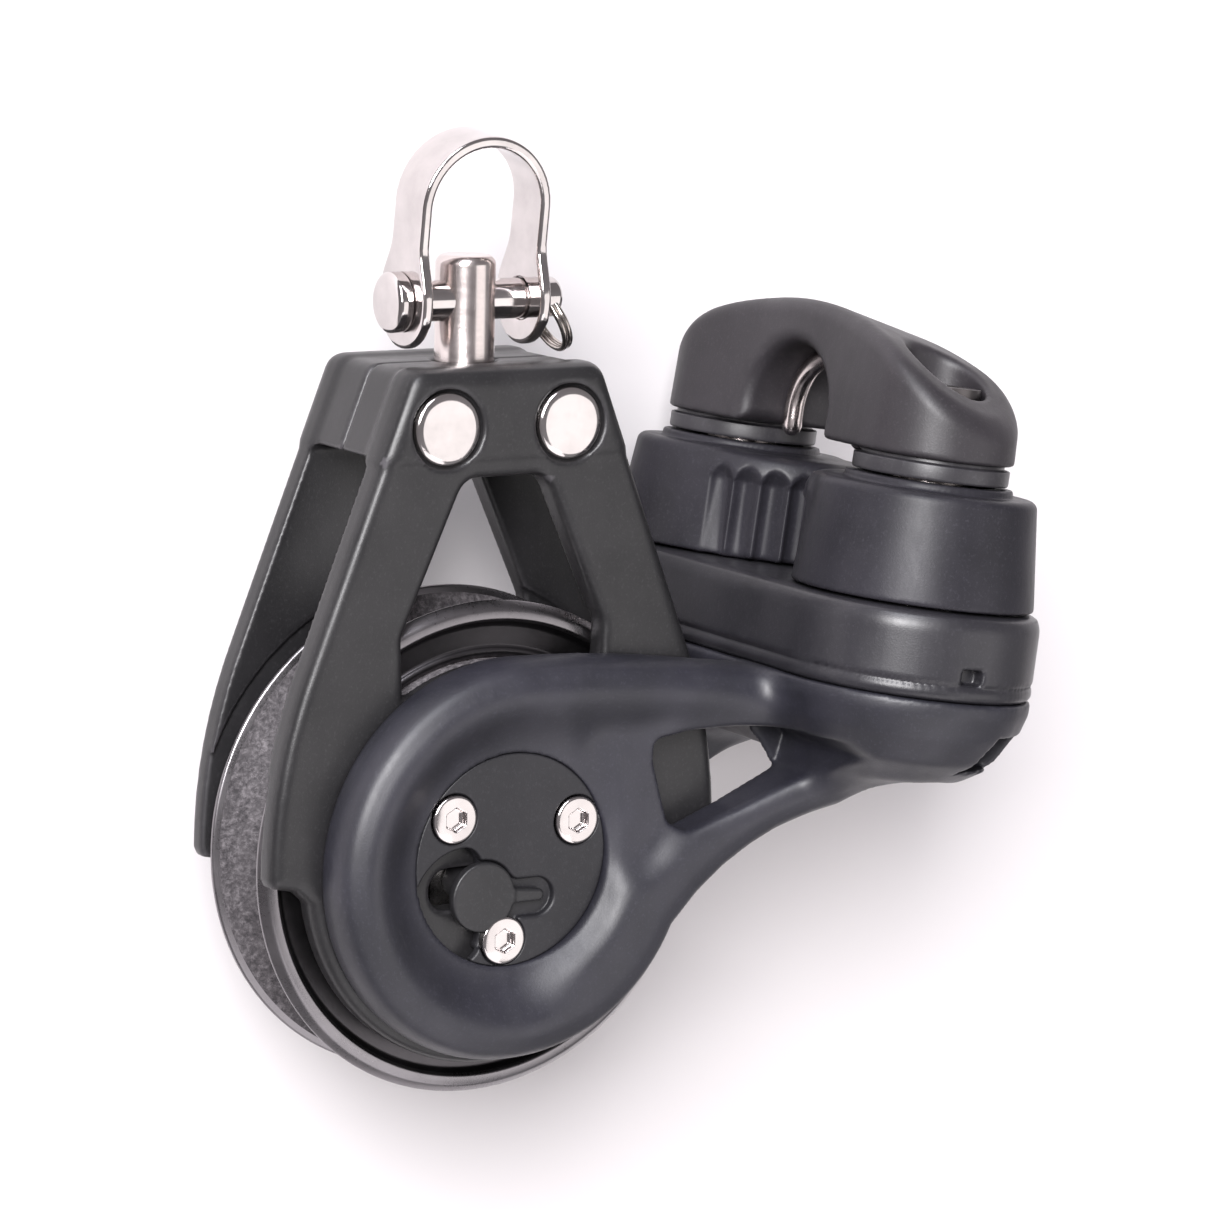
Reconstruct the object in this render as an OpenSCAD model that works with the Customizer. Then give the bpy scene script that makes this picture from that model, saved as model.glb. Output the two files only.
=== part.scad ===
// Single swivel block with a ratchet sheave and a cam cleat carried on a forked arm.
// The origin is the centre of the sheave. +Z points to the head and shackle, +X to the
// cleat, and the sheave spins about Y. The near side is -Y and carries the ratchet switch.

/* [Sheave] */
// Outside diameter of the sheave
sheave_d = 57; // [56:0.5:58]
// Distance between the crests of the two flanges
crest_w = 11.6; // [11:0.2:12]
// Radius at the bottom of the rope groove
groove_r = 20.5; // [20:0.5:21.5]
// Number of balls in each sheave bearing row
ball_count = 24; // [12:2:26]
// Number of ratchet teeth inside the sheave
ratchet_teeth = 24; // [24]

/* [Cheeks] */
// Overall thickness of the block across its two cheeks
cheek_w = 20.6; // [20:0.2:22]
// Height of the head's top above the sheave's centre
head_z = 55; // [54:0.5:56]
// Half width of the cheeks at the sheave's centre
shoulder_x = 28.9; // [28.6:0.1:29.2]

/* [Shackle] */
// Diameter of the swivel post
post_d = 6.8; // [6.8:0.1:7.4]
// Diameter of the clevis pin
pin_d = 4.6; // [4:0.1:4.6]
// Outside width of the shackle bow
bow_w = 16.4; // [16:0.2:18]
// Thickness of the shackle strap
strap_t = 1.3; // [1.2:0.1:1.5]
// Angle at which the shackle leans towards the near side
lean = 8; // [0:1:15]

/* [Cleat] */
// Distance from the sheave's axis to the middle of the cleat's base
cam_x = 49; // [48.5:0.1:50]
// Height of the base's top face above the sheave's centre
base_top = 27.4; // [27:0.1:28]
// Angle at which the cleat leans away from the head
tilt = 8; // [7:0.5:9]
// Distance between the two cam axes
cam_pitch = 39; // [38.8:0.1:39.2]
// Height of each cam
cam_h = 13.6; // [13:0.2:14]
// Radius of the round back of each cam, at the bottom
cam_r = 14.2; // [13.8:0.1:14.4]
// Largest radius of a cam's toothed face
cam_reach = 20.4; // [20.2:0.05:20.5]

/* [Hidden] */
$fn = 64;
play = 0.05;

sheave_r = sheave_d / 2;
crest_y = crest_w / 2;
rim_y = 6.9;
race_in = 13;
race_out = 16.2;
ball_r = (race_out - race_in) / 2 - play;
ball_y = 4.6;
ring_y = 2;
tooth_tip_r = 13.9;
tooth_root_r = 15.4;

face_y = cheek_w / 2;
leg_in = 6.6;
well_y = 7.2;
well_r = 29.7;
leg_arc = 61;
leg_bend_z = 22.2;
leg_slope = 0.39;
disc_r = 24.2;
head_under = 45.5;

rivet_x = 7.8;
rivet_z = 48.7;
rivet_r = 2.25;
rivet_head_r = 4.1;

post_r = post_d / 2;
post_top = 66.8;
flange_r = 4.9;
flange_lo = 47.6;
flange_hi = 50.4;
pin_r = pin_d / 2;
pin_z = 61.7;
bow_r = bow_w / 2;
bow_z = 10.9;
strap_w = 6.6;
lobe_r = 5.2;
ring_hole_x = bow_r + 1.6;
ring_hole_r = 1.25;
ring_r = 3.3;
ring_wire_r = 0.4;
ring_swing = 28;

screw_ring_r = 9.2;
screw_angles = [24, 144, 264];
screw_r = 1.45;
screw_head_r = 2.4;
plate_y = 12.5;
lip_y = 11.3;
plate_r = 12.2;

knob = [-3.4, -3.2];
knob_r = 3.65;
knob_travel = 3.5;
tail_len = 8;
tail_r = 1.5;

pawl_angles = [84, 204];
pawl_pivot_r = 10.4;

arm_in = face_y + play;
arm_out = 16.5;
arm_ring_r = 23;
cam_y = cam_pitch / 2;
base_r = 15.2;
base_h = 9.9;

cam_z = 0.3;
cam_top = cam_z + cam_h;
cap_z = cam_top + 0.3;
foot_z = 16.6;
cam_post_r = 4.5;
cam_bore_r = 7.6;
cam_ball_r = (cam_bore_r - cam_post_r) / 2 - play;
cam_teeth = 6;
face_start = 66;
tooth_span = 71;
back_end = 376;
screw5_r = 2.4;

arch_top = 31;
arch_under = 22;
arch_half = 28.8;
foot_r = 9.5;
eye_r = 8.4;
eye_z = foot_z + 2.2;
wire_r = 1.2;
wire_x = -1.5;

// ---- helpers -------------------------------------------------------------

// Extrudes a side view, drawn in X and Z, from y0 to y1.
module along_y(y0, y1)
    translate([0, y1, 0]) rotate([90, 0, 0]) linear_extrude(height = y1 - y0) children();

// A cylinder along Y through the point at = [x, z].
module y_cyl(r, y0, y1, at = [0, 0])
    translate([at[0], y1, at[1]]) rotate([90, 0, 0]) cylinder(r = r, h = y1 - y0);

// A cylinder along X through the point at = [y, z].
module x_cyl(r, x0, x1, at = [0, 0])
    translate([x0, at[0], at[1]]) rotate([0, 90, 0]) cylinder(r = r, h = x1 - x0);

module far_side() mirror([0, 1, 0]) children();

// Rounds both the inside and the outside corners of a 2D shape.
module soften(r) offset(r = r, $fn = 32) offset(r = -2 * r, $fn = 32) offset(r = r, $fn = 32) children();

// The place of one of the hub screws, in X and Z.
function hub_point(a) = [screw_ring_r * cos(a), screw_ring_r * sin(a)];

// ---- shackle -------------------------------------------------------------

// Turns a piece drawn about the pin's axis to the angle at which the shackle leans.
module at_pin() translate([0, 0, pin_z]) rotate([lean, 0, 0]) children();

module bow_outline(r)
    union() {
        translate([0, bow_z]) circle(r = r);
        translate([-r, -lobe_r - 1]) square([2 * r, bow_z + lobe_r + 1]);
    }

module shackle_bow() color("gainsboro")
    at_pin() difference() {
        intersection() {
            along_y(-lobe_r, lobe_r) difference() {
                bow_outline(bow_r);
                bow_outline(bow_r - strap_t);
            }
            union() {
                x_cyl(lobe_r, -bow_r - 1, bow_r + 1);
                translate([-bow_r - 1, -strap_w / 2, 0])
                    cube([2 * bow_r + 2, strap_w, bow_z + bow_r + 1]);
            }
        }
        x_cyl(pin_r + play, -bow_r - 1, bow_r + 1);
    }

module clevis_pin() color("silver")
    at_pin() difference() {
        union() {
            x_cyl(pin_r, -bow_r - 1, ring_hole_x + 1.9);
            x_cyl(3.4, -bow_r - 2, -bow_r);
        }
        y_cyl(ring_hole_r, -pin_r - 1, pin_r + 1, [ring_hole_x, 0]);
    }

// Two turns of wire, hanging from the hole in the end of the pin.
module split_ring() color("silver")
    at_pin() translate([ring_hole_x, 0, 0]) rotate([0, -ring_swing, 0])
        translate([0, 0, 0.45 - ring_r]) rotate([0, 90, 0])
            for (side = [-1, 1])
                translate([0, 0, side * ring_wire_r * 0.98])
                    rotate_extrude() translate([ring_r, 0]) circle(r = ring_wire_r, $fn = 24);

module swivel_post() color("silver")
    difference() {
        union() {
            translate([0, 0, flange_lo]) cylinder(r = flange_r, h = flange_hi - flange_lo);
            translate([0, 0, flange_hi - 1]) cylinder(r = post_r, h = post_top - flange_hi + 0.4);
            translate([0, 0, post_top - 0.6]) cylinder(r1 = post_r, r2 = post_r - 0.6, h = 0.6);
        }
        translate([0, 0, pin_z]) x_cyl(pin_r + play + 0.02, -post_r - 1, post_r + 1);
    }

module post_washer() color("white")
    translate([0, 0, flange_hi + play]) difference() {
        cylinder(r = flange_r, h = 0.6);
        translate([0, 0, -1]) cylinder(r = post_r + 0.1, h = 3);
    }

// ---- cheeks --------------------------------------------------------------

// Half width of a cheek's leg at height z.
function leg_x(z) = z < leg_bend_z
    ? shoulder_x - leg_arc * (1 - cos(asin(z / leg_arc)))
    : leg_x(leg_bend_z - 0.001) - (z - leg_bend_z) * leg_slope;

function leg_side(s) = [for (z = [0, 3, 6, 9, 12, 15, 18, 21, 22.2, head_z]) [s * leg_x(z), z]];

module a_frame()
    polygon(concat([[-shoulder_x, -0.4], [shoulder_x, -0.4]], leg_side(1),
        [for (i = [9:-1:0]) leg_side(-1)[i]]));

module cheek_outline() soften(1.2) union() {
    a_frame();
    circle(r = disc_r, $fn = 96);
}

// The opening between the legs, over the top of the sheave.
module window_outline()
    offset(r = 2.6, $fn = 32) offset(r = -2.6) difference() {
        polygon([[-5.4, 43], [5.4, 43], [13.2, 26], [13.2, 15], [-13.2, 15], [-13.2, 26]]);
        circle(r = 22, $fn = 96);
    }

// The slot that lets the ratchet switch slide towards -X.
module switch_slot(r)
    hull() {
        translate(knob) circle(r = r);
        translate(knob - [knob_travel, 0]) circle(r = r);
    }

module cheek_blank() difference() {
    union() {
        along_y(-face_y, -leg_in) difference() {
            cheek_outline();
            window_outline();
        }
        along_y(-leg_in, 0) intersection() {
            cheek_outline();
            translate([-30, head_under]) square([60, 20]);
        }
    }
    y_cyl(well_r, -well_y, 1);
    translate([0, 0, flange_lo - 0.1]) cylinder(r = flange_r + 0.1, h = flange_hi + 0.9 - flange_lo);
    translate([0, 0, flange_hi]) cylinder(r = post_r + 0.1, h = 10);
    for (s = [-1, 1]) {
        y_cyl(rivet_r + play, -face_y - 1, 1, [s * rivet_x, rivet_z]);
        y_cyl(rivet_head_r + 0.3, -face_y - 1, -face_y + 0.6, [s * rivet_x, rivet_z]);
    }
    for (a = screw_angles) y_cyl(screw_r + play, -face_y - 1, 0, hub_point(a));
}

module near_cheek() color("dimgray") difference() {
    cheek_blank();
    along_y(-face_y - 1, 0) switch_slot(2.4);
}

module far_cheek() color("dimgray") far_side() cheek_blank();

// Each rivet has a shank through both cheeks and a flat round head at each end.
module head_rivets() color("white")
    for (s = [-1, 1]) {
        y_cyl(rivet_r, -face_y, face_y, [s * rivet_x, rivet_z]);
        for (e = [0, 1]) mirror([0, e, 0])
            y_cyl(rivet_head_r, -face_y - 0.4, -face_y + 0.6, [s * rivet_x, rivet_z]);
    }

// ---- hub -----------------------------------------------------------------

// A pocket for one pawl, in the side view, with the pawl's pivot at angle a.
module pawl_pocket(a)
    rotate(a) translate([pawl_pivot_r, 0]) {
        hull() {
            circle(r = 1.7);
            translate([-0.6, 5.6]) circle(r = 1.7);
            translate([3.4, 5.6]) circle(r = 1.7);
            translate([3.4, 0]) circle(r = 1.7);
        }
        hull() {
            circle(r = 1.7);
            translate([0.2, -4.4]) circle(r = 1.4);
            translate([-3.1, -3.7]) circle(r = 1.4);
            translate([-2.2, -1.4]) circle(r = 1.4);
        }
    }

module hub_core() color("black") difference() {
    y_cyl(race_in, -well_y, well_y);
    for (a = screw_angles) y_cyl(screw_r + play, -well_y - 1, well_y + 1, hub_point(a));
    along_y(-ring_y, ring_y) for (a = pawl_angles) pawl_pocket(a);
    along_y(-well_y - 1, -3.4) translate([-11, -6.1]) square([10, 5.6]);
    for (a = pawl_angles) rotate([0, -a, 0]) y_cyl(0.8, -4, 4, [pawl_pivot_r, 0]);
}

module hub_plate_blank() difference() {
    union() {
        y_cyl(plate_r, -plate_y, -lip_y);
        y_cyl(plate_r - 1.4, -lip_y - 0.5, -face_y);
    }
    for (a = screw_angles) {
        y_cyl(screw_r + play, -plate_y - 1, 0, hub_point(a));
        y_cyl(screw_head_r + 0.2, -plate_y - 1, -plate_y + 0.8, hub_point(a));
    }
}

module near_hub_plate() color("darkslategray") difference() {
    hub_plate_blank();
    along_y(-plate_y - 1, 0) {
        switch_slot(knob_r + 0.2);
        hull() {
            translate(knob) circle(r = tail_r + 0.25);
            translate(knob + [tail_len, -0.2]) circle(r = tail_r + 0.25);
        }
    }
}

module far_hub_plate() color("darkslategray") far_side() hub_plate_blank();

// Button-head screws with a hexagon socket, threaded into the hub core.
module hub_screws() color("ivory")
    for (a = screw_angles) translate([hub_point(a)[0], 0, hub_point(a)[1]]) difference() {
        union() {
            y_cyl(screw_head_r, -plate_y - 0.6, -plate_y + 0.8);
            y_cyl(screw_r, -plate_y, -1);
        }
        translate([0, -plate_y - 1, 0]) rotate([-90, 0, 0]) cylinder(r = 1.3, h = 1.3, $fn = 6);
    }

module near_hub_screws() hub_screws();

module far_hub_screws() far_side() hub_screws();

// The sliding knob, its tail, and the stem that reaches the shift plate.
module ratchet_switch() color("black") union() {
    y_cyl(knob_r, -plate_y - 1.3, -lip_y - 0.2, knob);
    y_cyl(2.9, -lip_y - 0.3, -face_y - 0.2, knob);
    along_y(-plate_y - 0.3, -face_y - 0.2) hull() {
        translate(knob) circle(r = tail_r);
        translate(knob + [tail_len, -0.2]) circle(r = tail_r);
    }
    y_cyl(2.2, -face_y - 1, -6.4, knob);
}

module shift_plate() color("silver")
    along_y(-6.4, -3.8) translate([-7, -5.9]) square([5.6, 5.2]);

// ---- pawls ---------------------------------------------------------------

// A balanced pawl at rest, lying inside the hub core: nose and tail are alike.
module pawl(a) color("silver")
    along_y(-1.7, 1.7) rotate(a) translate([pawl_pivot_r, 0]) difference() {
        for (turn = [0, 180]) rotate(turn) hull() {
            circle(r = 1.5);
            translate([-0.3, 3.6]) circle(r = 1.1);
            translate([0.3, 4.8]) circle(r = 0.5);
        }
        circle(r = 0.75);
    }

module upper_pawl() pawl(pawl_angles[0]);

module lower_pawl() pawl(pawl_angles[1]);

module pawl_pins() color("silver")
    for (a = pawl_angles) rotate([0, -a, 0]) y_cyl(0.7, -3.3, 3.3, [pawl_pivot_r, 0]);

// ---- sheave --------------------------------------------------------------

// Spins a section drawn in radius and Y about the sheave's axis.
module spin_y() rotate([90, 0, 0]) rotate_extrude($fn = 96) children();

// The drum carries the rope and the ratchet; its ends stop at the flanges.
module sheave_drum() color("gray")
    spin_y() polygon([[race_out, -rim_y + 0.2], [21.9, -rim_y + 0.2], [21.9, -2.5],
        [groove_r + 0.3, -1.2], [groove_r, 0], [groove_r + 0.3, 1.2], [21.9, 2.5],
        [21.9, rim_y - 0.2], [race_out, rim_y - 0.2]]);

// One flange, with a shallow step in its outer face.
module near_flange() color("silver")
    spin_y() polygon([[21.9, 2.5], [sheave_r - 1, crest_y - 0.6], [sheave_r - 0.3, crest_y - 0.4],
        [sheave_r, crest_y], [sheave_r - 1.4, rim_y], [26.2, rim_y], [26.2, 5.6], [21.9, 5.6]]);

module far_flange() far_side() near_flange();

// The phase puts a gap between teeth where each pawl's tip swings out.
tooth_phase = 6;

module ratchet_ring() color("darkgray")
    along_y(-ring_y, ring_y) difference() {
        circle(r = race_out, $fn = 96);
        polygon([for (i = [0:ratchet_teeth - 1], k = [0, 1])
            let (a = tooth_phase + (i + (k == 0 ? -0.45 : 0.42)) * 360 / ratchet_teeth,
                r = k == 0 ? tooth_tip_r : tooth_root_r)
            [r * cos(a), r * sin(a)]]);
    }

module ball_row(y) color("white")
    for (i = [0:ball_count - 1]) rotate([0, i * 360 / ball_count, 0])
        translate([(race_in + race_out) / 2, y, 0]) sphere(r = ball_r);

module near_ball_row() ball_row(-ball_y);

module far_ball_row() ball_row(ball_y);

// ---- cleat arm and base --------------------------------------------------

// Moves a piece drawn about the middle of the base's top face to its place on the arm.
module at_cleat() translate([cam_x, 0, base_top]) rotate([0, tilt, 0]) children();

// The ring and the two struts that run from it to the head, in X and Z.
module arm_outline(ring_r)
    difference() {
        union() {
            circle(r = ring_r, $fn = 96);
            polygon([[0, ring_r], [9.3, 22.4], [17.9, 21.3], [24.6, 20.8], [34, 19.4], [45, 15.4],
                [47, 8], [46, 4], [42.5, 0.7], [35.6, -2.7], [28.8, -5.8], [23.5, -9.2],
                [19.4, -12.6], [ring_r * 0.6, -ring_r * 0.8], [0, 0]]);
        }
        offset(r = 1.4, $fn = 24) polygon([[20, 10.4], [25, 11.5], [36.8, 10.8], [37.8, 9.6],
            [33.4, 7.6], [23.2, 3.2], [20.6, 7]]);
    }

// One side of the fork: a raised ring round the hub, and the struts to the head.
module arm_side() difference() {
    union() {
        along_y(-arm_out, -arm_in - 1.2) arm_outline(arm_ring_r);
        along_y(-arm_in - 1.2, -arm_in) arm_outline(arm_ring_r - 1.8);
    }
    y_cyl(plate_r - 1.2, -arm_out - 1, 0);
    y_cyl(plate_r + 0.2, -arm_out - 1, -lip_y);
    translate([0, -plate_y, 0]) rotate([90, 0, 0]) cylinder(r1 = plate_r + 0.2, r2 = plate_r + 5, h = 5);
}

// Radius and height of the bowl under the base, from its rim down.
bowl = [[base_r, -base_h], [base_r, -base_h - 0.5], [14.5, -13.2], [12.3, -17.2], [8.2, -20.6]];

// The bowl under the cam base, with a hole and a side slot for each nut.
module arm_head() {
    for (s = [-1, 1]) translate([0, s * cam_y, 0])
        rotate_extrude() polygon(concat([[0, -base_h]], bowl, [[0, -20.6]]));
    along_y(-cam_y, cam_y)
        polygon(concat(bowl, [for (i = [len(bowl) - 1:-1:0]) [-bowl[i][0], bowl[i][1]]]));
}

// The bores for the two long screws, each with an open slot for its nut.
module arm_bores()
    for (s = [-1, 1]) translate([0, s * cam_y, 0]) {
        translate([0, 0, -30]) cylinder(r = screw5_r + 0.2, h = 40);
        translate([0, 0, -18.6]) linear_extrude(height = 4.6) rotate(s * 50) hull() {
            circle(r = 4.8);
            translate([20, 0]) square([1, 9.6], center = true);
        }
    }

module cam_arm() color("darkslategray") difference() {
    union() {
        difference() {
            union() {
                arm_side();
                far_side() arm_side();
            }
            at_cleat() translate([-30, -30, -base_h]) cube([60, 60, 30]);
        }
        at_cleat() arm_head();
    }
    at_cleat() arm_bores();
}

module cam_base() color("darkslategray") at_cleat() difference() {
    union() {
        for (s = [-1, 1]) translate([0, s * cam_y, -base_h]) cylinder(r = base_r, h = base_h);
        translate([-base_r, -cam_y, -base_h]) cube([2 * base_r, cam_pitch, base_h]);
    }
    for (s = [-1, 1]) {
        translate([0, s * cam_y, -20]) cylinder(r = screw5_r + 0.2, h = 30);
        translate([-1.2, s * (cam_y + base_r), -base_h + 2.2]) cube([3, 4, 2.2], center = true);
    }
}

// ---- cams ----------------------------------------------------------------

// The toothed face is a spiral that shrinks from its tip round to the back.
function spiral_r(a) = cam_reach - (cam_reach - 13.9) * (a - face_start) / tooth_span;

face_profile = concat(
    [for (i = [0:cam_teeth - 1], k = [0, 0.25, 0.5, 0.75])
        let (a = face_start + (i + k) * tooth_span / cam_teeth, r = spiral_r(a) - sin(k * 180))
        [r * cos(a), r * sin(a)]],
    [for (a = [138:17:back_end]) [11 * cos(a), 11 * sin(a)]],
    [[12.2 * cos(22), 12.2 * sin(22)],
    [cam_reach * cos(face_start - 10), cam_reach * sin(face_start - 10) - 0.5]]);

module cam_piece() translate([0, -cam_y, cam_z]) difference() {
    union() {
        linear_extrude(height = cam_h - 1.2) polygon(face_profile);
        intersection() {
            union() {
                cylinder(r1 = cam_r, r2 = cam_r - 1.6, h = cam_h - 1.6);
                translate([0, 0, cam_h - 1.6]) cylinder(r1 = cam_r - 1.6, r2 = cam_r - 3.2, h = 1.6);
            }
            linear_extrude(height = 30) polygon(concat([[0, 0]],
                [for (a = [136:48:back_end]) [30 * cos(a), 30 * sin(a)]]));
        }
        cylinder(r = 10.6, h = cam_h);
    }
    translate([0, 0, -1]) cylinder(r = cam_bore_r, h = cam_h + 2);
}

module near_cam() color("black") at_cleat() cam_piece();

module far_cam() color("black") far_side() at_cleat() cam_piece();

module cam_balls() color("white") at_cleat() translate([0, -cam_y, 0])
    for (z = [cam_z + 2.7, cam_top - 2.2], i = [0:9]) rotate(i * 36)
        translate([(cam_post_r + cam_bore_r) / 2, 0, z]) sphere(r = cam_ball_r);

module near_cam_balls() cam_balls();

module far_cam_balls() far_side() cam_balls();

// Four closely wound turns; their ends hook into the base and the cam.
module cam_spring() color("silver")
    at_cleat() translate([0, -cam_y, (cam_z + cam_top) / 2 - 1.4])
        for (i = [0:3]) translate([0, 0, i * 1.02])
            rotate_extrude() translate([5.7, 0]) circle(r = 0.52, $fn = 16);

module near_cam_spring() cam_spring();

module far_cam_spring() far_side() cam_spring();

module cam_post() color("silver") at_cleat() translate([0, -cam_y, 0]) difference() {
    union() {
        cylinder(r = 6.9, h = 1);
        cylinder(r = cam_post_r, h = cap_z);
    }
    translate([0, 0, -1]) cylinder(r = screw5_r + 0.1, h = 60);
}

module near_cam_post() cam_post();

module far_cam_post() far_side() cam_post();

module cam_cap() color("dimgray") at_cleat() translate([0, -cam_y, 0]) difference() {
    union() {
        translate([0, 0, cap_z]) cylinder(r = 9.4, h = 0.9);
        translate([0, 0, cap_z]) cylinder(r = 8.7, h = foot_z - cap_z);
    }
    cylinder(r = screw5_r + 0.1, h = 60);
}

module near_cam_cap() cam_cap();

module far_cam_cap() far_side() cam_cap();

// ---- fairlead ------------------------------------------------------------

// Turns a shape drawn in Y and Z into one extruded along X.
module along_x(x0, x1)
    translate([x0, 0, 0]) rotate([90, 0, 90]) linear_extrude(height = x1 - x0) children();

arch_rise = 10.6;
arch_arc = (pow(arch_half, 2) + pow(arch_rise, 2)) / (2 * arch_rise);
arch_swing = asin(arch_half / arch_arc);

module arch_profile() difference() {
    polygon(concat([[arch_half, foot_z]],
        [for (t = [-1:0.1:1]) [-arch_arc * sin(t * arch_swing),
            arch_top - arch_arc * (1 - cos(t * arch_swing))]],
        [[-arch_half, foot_z]]));
    translate([0, eye_z]) circle(r = eye_r);
    translate([-eye_r, foot_z - 1]) square([2 * eye_r, eye_z - foot_z + 1]);
}

module fairlead_arch() color("dimgray") at_cleat() difference() {
    intersection() {
        along_x(-12, 12) arch_profile();
        union() {
            for (s = [-1, 1]) translate([0, s * cam_y, foot_z]) cylinder(r = foot_r, h = 20);
            translate([-8, -cam_y, foot_z]) cube([16, cam_pitch, 20]);
        }
    }
    for (s = [-1, 1]) translate([0, s * cam_y, 0]) {
        cylinder(r = screw5_r + 0.2, h = 80);
        translate([0, 0, arch_under]) cylinder(r = 4.9, h = 20);
    }
}

// A stainless wire that lines the eye, with both legs reaching the arch's seat.
module fairlead_wire() color("silver")
    at_cleat() translate([wire_x, 0, eye_z]) union() {
        rotate([90, 0, 90]) rotate_extrude(angle = 180) translate([eye_r - wire_r - 0.1, 0])
            circle(r = wire_r, $fn = 32);
        for (s = [-1, 1]) translate([0, s * (eye_r - wire_r - 0.1), foot_z - eye_z])
            cylinder(r = wire_r, h = eye_z - foot_z, $fn = 32);
    }

module cleat_screws() color("silver")
    at_cleat() for (s = [-1, 1]) translate([0, s * cam_y, 0]) difference() {
        union() {
            translate([0, 0, arch_under]) cylinder(r = 4.4, h = 2.8);
            translate([0, 0, -19]) cylinder(r = screw5_r, h = arch_under + 19);
        }
        translate([0, 0, arch_under + 1]) cylinder(r = 2.2, h = 4, $fn = 6);
    }

module cleat_nuts() color("silver")
    at_cleat() for (s = [-1, 1]) translate([0, s * cam_y, -18.5]) difference() {
        cylinder(r = 4.6, h = 4.3, $fn = 6);
        translate([0, 0, -1]) cylinder(r = screw5_r + play, h = 8);
    }

// ---- nodes ---------------------------------------------------------------

shackle_bow();
clevis_pin();
split_ring();
swivel_post();
post_washer();
near_cheek();
far_cheek();
head_rivets();
hub_core();
near_hub_plate();
far_hub_plate();
near_hub_screws();
far_hub_screws();
sheave_drum();
near_flange();
far_flange();
ratchet_ring();
near_ball_row();
far_ball_row();
ratchet_switch();
shift_plate();
upper_pawl();
lower_pawl();
pawl_pins();
cam_arm();
cam_base();
near_cam();
far_cam();
near_cam_balls();
far_cam_balls();
near_cam_spring();
far_cam_spring();
near_cam_post();
far_cam_post();
near_cam_cap();
far_cam_cap();
fairlead_arch();
fairlead_wire();
cleat_screws();
cleat_nuts();
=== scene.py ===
"""Looks of a swivel ratchet block with a cam cleat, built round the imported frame."""
import math

import bpy
import numpy as np
from mathutils import Matrix, Vector


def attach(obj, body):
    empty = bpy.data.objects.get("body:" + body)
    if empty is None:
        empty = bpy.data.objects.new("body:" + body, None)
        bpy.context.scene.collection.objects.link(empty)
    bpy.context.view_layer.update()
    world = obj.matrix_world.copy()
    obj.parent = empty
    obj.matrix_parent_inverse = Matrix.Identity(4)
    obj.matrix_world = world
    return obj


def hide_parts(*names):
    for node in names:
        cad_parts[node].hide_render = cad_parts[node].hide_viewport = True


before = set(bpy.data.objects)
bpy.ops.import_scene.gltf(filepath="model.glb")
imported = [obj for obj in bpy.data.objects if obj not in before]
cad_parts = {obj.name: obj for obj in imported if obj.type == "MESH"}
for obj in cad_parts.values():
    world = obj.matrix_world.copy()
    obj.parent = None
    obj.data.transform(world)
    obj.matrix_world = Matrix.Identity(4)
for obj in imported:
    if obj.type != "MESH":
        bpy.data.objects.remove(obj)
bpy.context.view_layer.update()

# ---- sizes, in millimetres, as in the CAD ---------------------------------

FACE = 10.3                     # outer faces of the cheeks, from the middle
DISC_R = 24.2                   # round lower part of a cheek
HUB_R = 12.2                    # hub plates
KNOB = (-3.4, -3.2)             # x and z of the ratchet knob's stem
KNOB_TRAVEL = 3.5               # how far the knob slides towards -X
SLOT_R = 2.4                    # half width of the stem's slot
SCREW_RING = 9.2                # hub screws, from the hub's axis
SCREW_ANGLES = (24, 144, 264)
RIVET_X, RIVET_Z = 7.8, 48.7    # axes of the head's rivets
PIN_Z = 61.7                    # shackle pin
CAM_Y = 19.5                    # cam axes, from the middle
BASE_R = 15.2                   # round ends of the cleat's base
BOWL_TOP = -9.95                # where the base sits on the bowl, in the cleat's frame
ARM_IN = 10.38                  # inner faces of the arm, from the middle
ARM_R = 23.0                    # ring of the arm
ARM_BORE = 12.23                # opening of that ring
TILT = math.radians(8)          # the cleat, about Y
LEAN = math.radians(8)          # the shackle pin, about X

SLANT = 0.7071                  # scale of a 45 degree bevel's field
HUB_SCREWS = [(SCREW_RING * math.cos(math.radians(a)), SCREW_RING * math.sin(math.radians(a)))
              for a in SCREW_ANGLES]
CLEAT = Matrix.Translation((49, 0, 27.4)) @ Matrix.Rotation(TILT, 4, "Y")
PIN = Matrix.Translation((0, 0, PIN_Z)) @ Matrix.Rotation(LEAN, 4, "X")

CELL = 0.4
ARM_CELL = 0.42
CAM_CELL = 0.3
PLATE_CELL = 0.2
SCREW_CELL = 0.13
BOW_CELL = 0.22
SHEAVE_SEGS = 384


# ---- distance fields ------------------------------------------------------

def smooth_union(a, b, r):
    """Joins two fields with a fillet of radius r."""
    return np.maximum(np.minimum(a, b), r) - np.hypot(np.maximum(r - a, 0), np.maximum(r - b, 0))


def cut_round(a, b, r):
    """The part of a that is also in b, with the shared edge rounded to radius r."""
    return np.minimum(np.maximum(a, b), -r) + np.hypot(np.maximum(a + r, 0), np.maximum(b + r, 0))


def carve(a, b, r):
    """a with b taken away, and the new edge rounded to radius r."""
    return cut_round(a, -b, r)


def blend(a, b, k):
    """A soft union that bulges over a width k."""
    h = np.clip(0.5 + 0.5 * (b - a) / k, 0, 1)
    return b + (a - b) * h - k * h * (1 - h)


def step(x, lo, hi):
    """Goes smoothly from 0 at lo to 1 at hi."""
    t = np.clip((x - lo) / (hi - lo), 0, 1)
    return t * t * (3 - 2 * t)


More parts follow.
